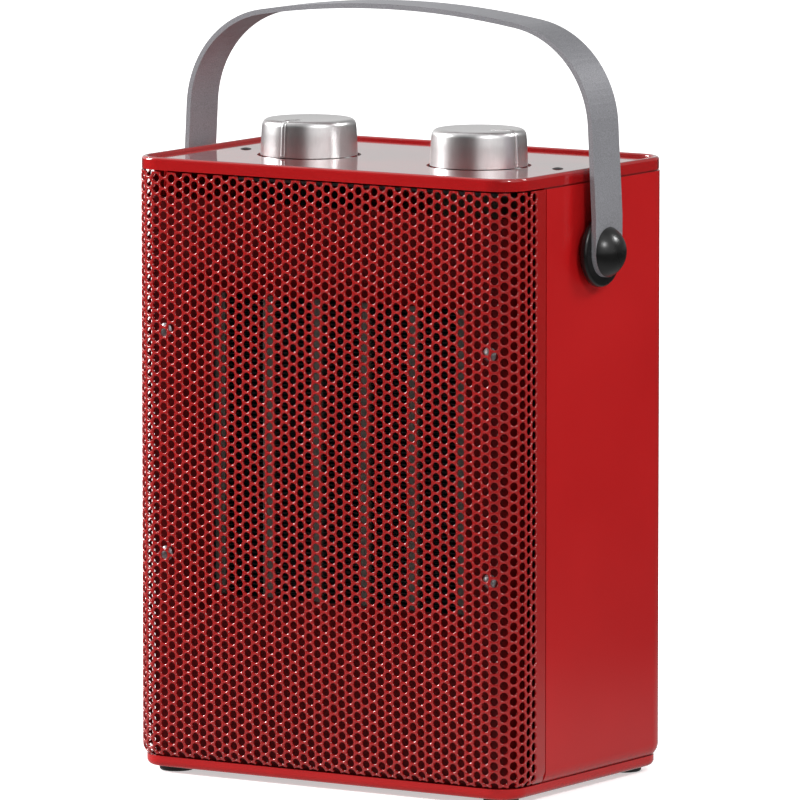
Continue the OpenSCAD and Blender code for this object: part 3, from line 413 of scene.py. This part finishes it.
enamel = enamel_look()
RED = (0.43, 0.008, 0.009)
red_gloss = finish("red_enamel", enamel, RED, 0.16, bump=0.06, Specular_IOR_Level=0.35)
# The front is a darker copy of the red enamel: painted shade that deepens its red between the glints.
red_front_painted_shade = finish(
    "red_enamel_front_painted_shade", enamel, (0.33, 0.002, 0.002), 0.22, bump=0.03,
    Specular_IOR_Level=0.5, Coat_Weight=0.55, Coat_Roughness=0.18,
)
# The tray is a slightly darker copy of the red enamel: painted shade against the key light on the top.
red_tray_painted_shade = finish(
    "red_enamel_tray_painted_shade", enamel, (0.36, 0.006, 0.007), 0.07, bump=0.02,
    Specular_IOR_Level=0.5, Coat_Weight=1.0, Coat_Roughness=0.04,
)
# The inner panel is the red enamel painted much darker: painted shade behind the punched front.
red_panel_painted_shade = finish(
    "red_enamel_painted_shade", enamel, (0.10, 0.0015, 0.002), 0.35, bump=0.05, Specular_IOR_Level=0.15,
)
paint(red_gloss, "body_shell", "base_pan")
# The tray and the inner panel take darker copies of the red enamel, which are painted shade.
paint(red_tray_painted_shade, "top_cap")
paint(red_panel_painted_shade, "inner_panel")
print("enamel on", 4, "solids")

# %% [markdown]
# ### Grey strap paint, satin silver, black plastic and plain metals
#
# The strap has a fine metallic speckle. The knobs carry a satin plated finish with hardly any grain. The
# plastics show a fine moulded grain, and the hidden steel parts a soft mottle.


# %% Other looks
def speckle_look():
    look = Look("speckle_look")
    grain = look.noise(2400.0, 2.0, 0.6)
    cloud = look.noise(30.0, 2.0)
    dots = look.span(grain, 0.80, 1.22, 0.38, 0.64)
    speckled = look.math("MULTIPLY", dots, look.span(cloud, 0.96, 1.04))
    colour = look.shade(look.given.outputs["Tint"], speckled)
    rough = look.math("ADD", look.given.outputs["Gloss"], look.span(grain, -0.05, 0.05))
    return look.finish(colour, rough, grain)


def satin_look():
    look = Look("satin_look")
    lines = look.noise(900.0, 2.0, 0.5, (1.0, 1.0, 0.25))
    cloud = look.noise(60.0, 2.0)
    colour = look.shade(look.given.outputs["Tint"], look.span(lines, 0.97, 1.03))
    rough = look.math("ADD", look.given.outputs["Gloss"], look.span(cloud, -0.02, 0.02))
    return look.finish(colour, rough, lines)


def moulded_look():
    look = Look("moulded_look")
    grain = look.noise(1500.0, 2.0, 0.55)
    cloud = look.noise(45.0, 3.0)
    colour = look.shade(look.given.outputs["Tint"], look.span(cloud, 0.85, 1.2))
    rough = look.math("ADD", look.given.outputs["Gloss"], look.span(cloud, -0.04, 0.05))
    return look.finish(colour, rough, grain)


def metal_look():
    look = Look("metal_look")
    streak = look.noise(260.0, 3.0, 0.6, (1.0, 1.0, 0.2))
    cloud = look.noise(70.0, 4.0, 0.6)
    colour = look.shade(look.given.outputs["Tint"], look.span(cloud, 0.85, 1.12))
    rough = look.math("ADD", look.given.outputs["Gloss"], look.span(streak, -0.08, 0.08))
    return look.finish(colour, rough, streak)


speckle, satin, moulded, metal = speckle_look(), satin_look(), moulded_look(), metal_look()
strap_grey = finish("strap_grey", speckle, (0.25, 0.25, 0.268), 0.42, bump=0.08, Metallic=0.2)
silver = finish("satin_silver", satin, (0.80, 0.79, 0.79), 0.3, bump=0.02, Metallic=1.0)
black = finish("black_plastic", moulded, (0.012, 0.012, 0.013), 0.32, bump=0.10)
black_gloss = finish("black_plastic_gloss", moulded, (0.005, 0.005, 0.005), 0.28, bump=0.1)
rubber = finish("black_rubber", moulded, (0.010, 0.010, 0.010), 0.65, bump=0.25)
zinc = finish("zinc_plate", metal, (0.62, 0.62, 0.64), 0.34, bump=0.05, Metallic=1.0)
dark_steel = finish("blackened_steel", metal, (0.035, 0.035, 0.038), 0.36, bump=0.06, Metallic=0.7)
bracket_steel = finish("bracket_steel", metal, (0.52, 0.52, 0.53), 0.42, bump=0.08, Metallic=1.0)
bar_grey = finish("ceramic_bar", metal, (0.11, 0.09, 0.075), 0.55, bump=0.15, Metallic=0.2)
# The aluminium fins are coloured near black: painted shade inside the element.
fins_painted_shade = finish("fin_strip", metal, (0.05, 0.04, 0.04), 0.45, bump=0.05, Metallic=0.6)
brass = finish("brass_blade", metal, (0.60, 0.42, 0.14), 0.3, bump=0.05, Metallic=1.0)
pale = finish("pale_plastic", moulded, (0.58, 0.56, 0.52), 0.45, bump=0.10)
phenolic = finish("brown_phenolic", moulded, (0.24, 0.17, 0.11), 0.4, bump=0.12)
print("looks:", [g.name for g in bpy.data.node_groups])

# %% Finishes on the solids that keep their shape
paint(black, "cord_inlet", "heater_frame", "fan_shroud", "fan", "mode_switch")
paint(black_gloss, "left_pivot_spacer", "right_pivot_spacer", "left_pivot_cap", "right_pivot_cap")
paint(rubber, "front_left_foot", "front_right_foot", "rear_left_foot", "rear_right_foot")
paint(zinc, "foot_screws", "rear_screws", "panel_screws", "motor_screws", "motor", "motor_shaft")
paint(zinc, "mode_shaft", "mode_nut", "thermostat_shaft", "thermostat_nut", "tip_spring")
paint(zinc, "left_pivot_bolt", "right_pivot_bolt", "left_pivot_nut", "right_pivot_nut")
paint(dark_steel, "cap_screws")
paint(bracket_steel, "motor_bracket", "control_bracket")
paint(bar_grey, "heater_bars")
paint(fins_painted_shade, "heater_fins")
paint(brass, "heater_terminals")
paint(pale, "thermal_cutout", "tip_switch", "tip_plunger")
paint(phenolic, "thermostat")
paint(strap_grey, "handle")
print("finished solids:", sum(1 for n in nodes.values() if n.data.materials))

# %% [markdown]
# ## Perforated front
#
# On the real heater this is one steel sheet, punched flat with holes of about three and a half millimetres,
# then folded round the two front corners and rolled in along its lower edge. The punch leaves a small
# rounded rim on the outer face, and those rims catch the light. The sheet also bulges a little.
#
# It could be cut with booleans, but some three thousand of them are slow and leave untidy faces. Here each
# hole is a six-sided cell of the lattice, with rings of points round the hole. All cells are laid out flat,
# trimmed straight through the outer holes as a shear does, and only then carried round the housing's plan.

# %% Lattice of the punched sheet
FOLD = math.radians(18)
FRONT_HALF = FLAT_HALF + CORNER_R * math.tan(FOLD / 2)
HALF_COLUMNS, BEND_COLUMNS, LAST_COLUMN, FILL_COLUMN = 21, 4, 27, 30
COLUMN = FRONT_HALF / (HALF_COLUMNS + 0.5)
BEND_LEN = CORNER_R * math.pi / 2
SIDE_LEN = EDGE_Y - (FRONT_Y + CORNER_R)
REACH = FLAT_HALF + BEND_LEN + SIDE_LEN
ROWS = math.ceil((WALL_Z1 - WALL_Z0) / HOLE_PITCH) + 2
HOLE_SIDES = 12
# How far each ring of a punched rim lies outside the hole's radius, and how deep
RIM_STEPS = [(0.32, 0.0), (0.23, 0.04), (0.12, 0.13), (0.02, 0.28), (-0.05, 0.46)]
RIM = [(HOLE_D / 2 + out, depth) for out, depth in RIM_STEPS]
print("lattice:", 2 * LAST_COLUMN + 1, "columns of holes,", ROWS, "rows before the trim")


def column_place(i):
    """Distance of a column from the middle, measured along the sheet."""
    past = abs(i) - HALF_COLUMNS
    if past <= 0:
        return i * COLUMN
    if past <= BEND_COLUMNS:
        place = FLAT_HALF + CORNER_R * past * FOLD
    else:
        place = FLAT_HALF + BEND_LEN - CORNER_R * math.tan(FOLD / 2) + (past - BEND_COLUMNS - 0.5) * COLUMN
    return math.copysign(place, i)


def circle_points(s, t, r):
    """Points of a ring round a hole."""
    turns = [math.tau * k / HOLE_SIDES for k in range(HOLE_SIDES)]
    return [(s + r * math.cos(a), t + r * math.sin(a)) for a in turns]


def cell_outline(i, t):
    """Twelve points round a cell: six corners and the middles between them."""
    s = column_place(i)
    left, right = s - column_place(i - 1), column_place(i + 1) - s
    half = HOLE_PITCH / 2
    corners = [
        (s + right * 2 / 3, t), (s + right / 3, t + half), (s - left / 3, t + half),
        (s - left * 2 / 3, t), (s - left / 3, t - half), (s + right / 3, t - half),
    ]
    ring = []
    for a, b in zip(corners, corners[1:] + corners[:1]):
        ring += [a, ((a[0] + b[0]) / 2, (a[1] + b[1]) / 2)]
    return ring


# %% Flat sheet
def flat_sheet():
    """The punched sheet laid flat: x along the sheet, y up it, z into it."""
    bm = bmesh.new()
    shared = {}

    def corner(p, depth):
        key = (round(p[0], 3), round(p[1], 3), depth)
        if key not in shared:
            shared[key] = bm.verts.new((p[0], p[1], depth))
        return shared[key]

    def band(a, b):
        for k in range(HOLE_SIDES):
            n = (k + 1) % HOLE_SIDES
            bm.faces.new((a[k], a[n], b[n], b[k]))

    holes = 0
    for i in range(-FILL_COLUMN, FILL_COLUMN + 1):
        start = WALL_Z0 + ROW_OFFSET - HOLE_PITCH + (abs(i) % 2) * HOLE_PITCH / 2
        for k in range(ROWS):
            t = start + k * HOLE_PITCH
            ring = cell_outline(i, t)
            front = [corner(p, 0.0) for p in ring]
            back = [corner(p, SHEET_T) for p in ring]
            if abs(i) > LAST_COLUMN:
                bm.faces.new(front)
                bm.faces.new(back[::-1])
                continue
            s = column_place(i)
            rings = [front]
            for r, depth in RIM + [(RIM[-1][0], SHEET_T)]:
                rings.append([bm.verts.new((x, y, depth)) for x, y in circle_points(s, t, r)])
            for a, b in zip(rings, rings[1:] + [back]):
                band(a, b)
            holes += 1
    return bm, holes


sheet, hole_count = flat_sheet()
print("flat sheet:", hole_count, "holes before the trim")


# %% Trimming
def trim(bm, point, outward):
    """Shears the flat sheet along a line and closes the cut faces."""
    everything = bm.verts[:] + bm.edges[:] + bm.faces[:]
    cut = bmesh.ops.bisect_plane(bm, geom=everything, plane_co=point, plane_no=outward, clear_outer=True)
    edges = [e for e in cut["geom_cut"] if isinstance(e, bmesh.types.BMEdge)]
    bmesh.ops.holes_fill(bm, edges=edges, sides=0)


LOW_EDGE = ROLL_Z - ROLL_R * ROLL_A
trim(sheet, (0, LOW_EDGE, 0), (0, -1, 0))
trim(sheet, (0, WALL_Z1, 0), (0, 1, 0))
trim(sheet, (REACH, 0, 0), (1, 0, 0))
trim(sheet, (-REACH, 0, 0), (-1, 0, 0))
print("trimmed sheet:", len(sheet.verts), "points, half length", round(REACH, 2), "mm")

# %% [markdown]
# From the middle outward, the plan of the sheet is a flat, a quarter circle and a flat. Its lower edge turns
# inward through an eighth of a circle. The bulge dies away towards the cap, the base and both folds.

# %% Folding the sheet
BULGE = 2.4


def plan(s):
    """Point and outward direction of the outer face, a distance s along it from the middle."""
    side, along = math.copysign(1, s), abs(s)
    if along <= FLAT_HALF:
        return s, FRONT_Y, 0.0, -1.0
    turn = (along - FLAT_HALF) / CORNER_R
    if turn < math.pi / 2:
        return (
            side * (FLAT_HALF + CORNER_R * math.sin(turn)), FRONT_Y + CORNER_R - CORNER_R * math.cos(turn),
            side * math.sin(turn), -math.cos(turn),
        )
    return side * BODY_W / 2, FRONT_Y + CORNER_R + along - FLAT_HALF - BEND_LEN, side, 0.0


def bulge(s, t):
    across = max(0.0, 1 - (s / FLAT_HALF) ** 2)
    centre, half = (WALL_Z0 + WALL_Z1) / 2, (WALL_Z1 - WALL_Z0) / 2
    up = max(0.0, 1 - ((t - centre) / half) ** 2)
    return BULGE * across * up


def fold(s, t, depth):
    x, y, nx, ny = plan(s)
    roll = max(0.0, ROLL_Z - t) / ROLL_R
    z = t if roll == 0 else ROLL_Z - (ROLL_R - depth) * math.sin(roll)
    inward = depth if roll == 0 else ROLL_R - (ROLL_R - depth) * math.cos(roll)
    out = bulge(s, t) - inward
    return Vector((x + nx * out, y + ny * out, z)) * MM


def fold_sheet(bm):
    for v in bm.verts:
        v.co = fold(*v.co)
    bm.normal_update()
    mesh = bpy.data.meshes.new("punched_front")
    bm.to_mesh(mesh)
    bm.free()
    mesh.shade_smooth()
    mesh.set_sharp_from_angle(angle=math.radians(50))
    obj = bpy.data.objects.new("punched_front", mesh)
    bpy.context.scene.collection.objects.link(obj)
    # The front takes the darker copy of the red enamel, which is painted shade.
    mesh.materials.append(red_front_painted_shade)
    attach(obj, "housing")
    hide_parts("front_grille")
    return obj


grille = fold_sheet(sheet)
print("punched front:", len(grille.data.polygons), "faces, box", [round(v, 4) for v in grille.dimensions])

# %% [markdown]
# ## Folded fins
#
# Between the upright bars of the element run thin aluminium strips, folded to and fro like a concertina,
# that carry the heat into the air. The real foil is a tenth of a millimetre thick and folded more closely
# than a solid is worth cutting. Here each fold is a thin slab from one bar to the next, and a loop stacks
# them, so that the holes of the front show the fine lines of the real element.

# %% Folded fins
BAR_W, BAR_COUNT, ELEMENT_W, ELEMENT_H = 4.6, 6, 118.0, 119.0
ELEMENT_LIFT = 130.7
ELEMENT_Z = FOOT_H + ELEMENT_LIFT
FIN_Y0, FIN_Y1 = -43.5, -32.5
FOLD_RISE, FOIL = 0.8, 0.12
SLAB_FACES = ((0, 2, 3, 1), (4, 5, 7, 6), (0, 4, 6, 2), (1, 3, 7, 5), (0, 1, 5, 4), (2, 6, 7, 3))


def fin_strip(left, right):
    """Points and faces of one strip between two bars."""
    points, faces = [], []
    folds = int(ELEMENT_H / FOLD_RISE)
    for k in range(folds):
        low = ELEMENT_Z + (k - folds / 2) * FOLD_RISE
        rise = (0.0, FOLD_RISE) if k % 2 else (FOLD_RISE, 0.0)
        base = len(points)
        for y in (FIN_Y0, FIN_Y1):
            for x, up in zip((left, right), rise):
                points += [(x, y, low + up), (x, y, low + up + FOIL)]
        for face in SLAB_FACES:
            faces.append(tuple(base + i for i in face))
    return points, faces


def make_fins():
    points, faces = [], []
    step = (ELEMENT_W - BAR_W) / (BAR_COUNT - 1)
    for i in range(BAR_COUNT - 1):
        left = -ELEMENT_W / 2 + BAR_W + i * step
        strip, sides = fin_strip(left, left + step - BAR_W)
        faces += [tuple(len(points) + v for v in face) for face in sides]
        points += strip
    # The fins take the near-black fin colour, which is painted shade on the aluminium inside the element.
    obj = mesh_piece("folded_fins", points, faces, "housing", fins_painted_shade)
    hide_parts("heater_fins")
    return obj


fins = make_fins()
print("folded fins:", len(fins.data.polygons), "faces in", BAR_COUNT - 1, "strips")

# %% [markdown]
# ## Knobs
#
# The two knobs are moulded cups with a satin silver finish, pushed onto flatted shafts. The wall tapers a
# little, the shoulder is rounded, the top is faintly dished, and one raised rib runs from the top over the
# shoulder and down the wall as a pointer.
#
# The solid has the same form, but long triangles show as streaks in such a finish. So the cup is turned
# here from its half section, in even rings, and the rib is carried along the outside of that section.

# %% Turned knobs
KNOB_R, KNOB_H, KNOB_TAPER, KNOB_EDGE = 19.5, 14.5, 0.7, 2.6
KNOB_Z, KNOB_X, KNOB_Y = 246.2, 40.0, -5.0
KNOB_WALL, KNOB_ROOF = 2.0, 2.4
BORE_R, BORE_TOP = 3.03, 11.2
BOSS_R, BOSS_Z = 5.2, 0.8
CROWN, CROWN_MARGIN = 0.5, 1.5
RIB_HALF, RIB_RISE, RIB_FOOT, RIB_START = 0.85, 0.5, 0.6, 6.0
WALL_STEPS, EDGE_STEPS, TOP_STEPS = 6, 10, 12
# The right-hand pointer is turned away from the front
THERMOSTAT_TURN = math.radians(84)
print("knob:", 2 * KNOB_R, "mm across and", KNOB_H, "mm high")


# %% Half section of a knob
def knob_outside():
    """Half section from the foot of the wall over the shoulder to the middle of the top."""
    shoulder = KNOB_R - KNOB_TAPER
    low = KNOB_H - KNOB_EDGE
    line = []
    for k in range(WALL_STEPS):
        line.append((KNOB_R - KNOB_TAPER * k / WALL_STEPS * low / KNOB_H, low * k / WALL_STEPS))
    for k in range(EDGE_STEPS + 1):
        a = math.pi / 2 * k / EDGE_STEPS
        line.append((shoulder - KNOB_EDGE + KNOB_EDGE * math.cos(a), low + KNOB_EDGE * math.sin(a)))
    flat = shoulder - KNOB_EDGE - CROWN_MARGIN
    for k in range(TOP_STEPS + 1):
        r = flat * (1 - k / TOP_STEPS)
        line.append((r, KNOB_H - CROWN * (1 - (r / flat) ** 2)))
    return line


def knob_inside():
    """Half section of the hollow, from the bore past the boss to the foot of the wall."""
    roof, cup = KNOB_H - KNOB_ROOF, KNOB_R - KNOB_TAPER - KNOB_WALL
    bore = [(0, BORE_TOP), (BORE_R, BORE_TOP), (BORE_R, BOSS_Z)]
    return bore + [(BOSS_R, BOSS_Z), (BOSS_R, roof), (cup, roof), (cup, 0)]


print("half section:", len(knob_outside()) + len(knob_inside()), "points")


# %% Turning a section
def lathe(line, turns=120):
    """Points and faces of a closed section turned about the axis; its ends lie on the axis."""
    points, faces, rows = [], [], []
    for r, z in line:
        if r == 0:
            rows.append([len(points)] * turns)
            points.append((0, 0, z))
            continue
        rows.append(list(range(len(points), len(points) + turns)))
        for k in range(turns):
            a = math.tau * k / turns
            points.append((r * math.cos(a), r * math.sin(a), z))
    for a, b in zip(rows, rows[1:]):
        for k in range(turns):
            n = (k + 1) % turns
            corners = list(dict.fromkeys((a[k], a[n], b[n], b[k])))
            faces.append(corners)
    return points, faces


# %% Pointer rib
def rib(line, start):
    """Rib along -Y outside a section: a rounded bar from the foot of the wall to a start radius."""
    kept = [p for p in line if p[0] >= start]
    kept[0] = (kept[0][0], RIB_FOOT)
    points, faces = [], []
    half = [(1, -0.5), (1, 0.55), (0.72, 0.9), (0.3, 1.0)]
    section = [(-u, v) for u, v in half] + half[::-1]
    for k, (r, z) in enumerate(kept):
        a, b = kept[max(k - 1, 0)], kept[min(k + 1, len(kept) - 1)]
        along = Vector((b[0] - a[0], b[1] - a[1])).normalized()
        out = (along.y, -along.x)
        rise = RIB_RISE * min(1.0, (len(kept) - k) / 3)
        for u, v in section:
            points.append((u * RIB_HALF, -(r + out[0] * v * rise), z + out[1] * v * rise))
    sides = len(section)
    for k in range(len(kept) - 1):
        for s in range(sides):
            n = (s + 1) % sides
            faces.append((k * sides + s, (k + 1) * sides + s, (k + 1) * sides + n, k * sides + n))
    last = (len(kept) - 1) * sides
    faces.append(tuple(range(sides)))
    faces.append(tuple(last + s for s in reversed(range(sides))))
    return points, faces


# %% Both knobs
def make_knob(name, node, body, x, turned):
    line = knob_outside()
    points, faces = lathe(knob_inside() + line)
    extra, more = rib(line, RIB_START)
    faces += [tuple(i + len(points) for i in f) for f in more]
    points += extra
    c, s = math.cos(turned), math.sin(turned)
    placed = [(x + c * px - s * py, KNOB_Y + s * px + c * py, KNOB_Z + pz) for px, py, pz in points]
    obj = mesh_piece(name, placed, faces, body, silver, smooth=35)
    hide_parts(node)
    return obj


knobs = [
    make_knob("turned_mode_knob", "mode_knob", "mode_control", -KNOB_X, 0.0),
    make_knob("turned_thermostat_knob", "thermostat_knob", "thermostat_control", KNOB_X, THERMOSTAT_TURN),
]
print("knobs:", [len(knob.data.polygons) for knob in knobs], "faces")

# %% Size and end
visual_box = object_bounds()
for name, box in (("cad", cad_box), ("visual", visual_box)):
    print(name, "box", [[round(v, 4) for v in corner] for corner in box])
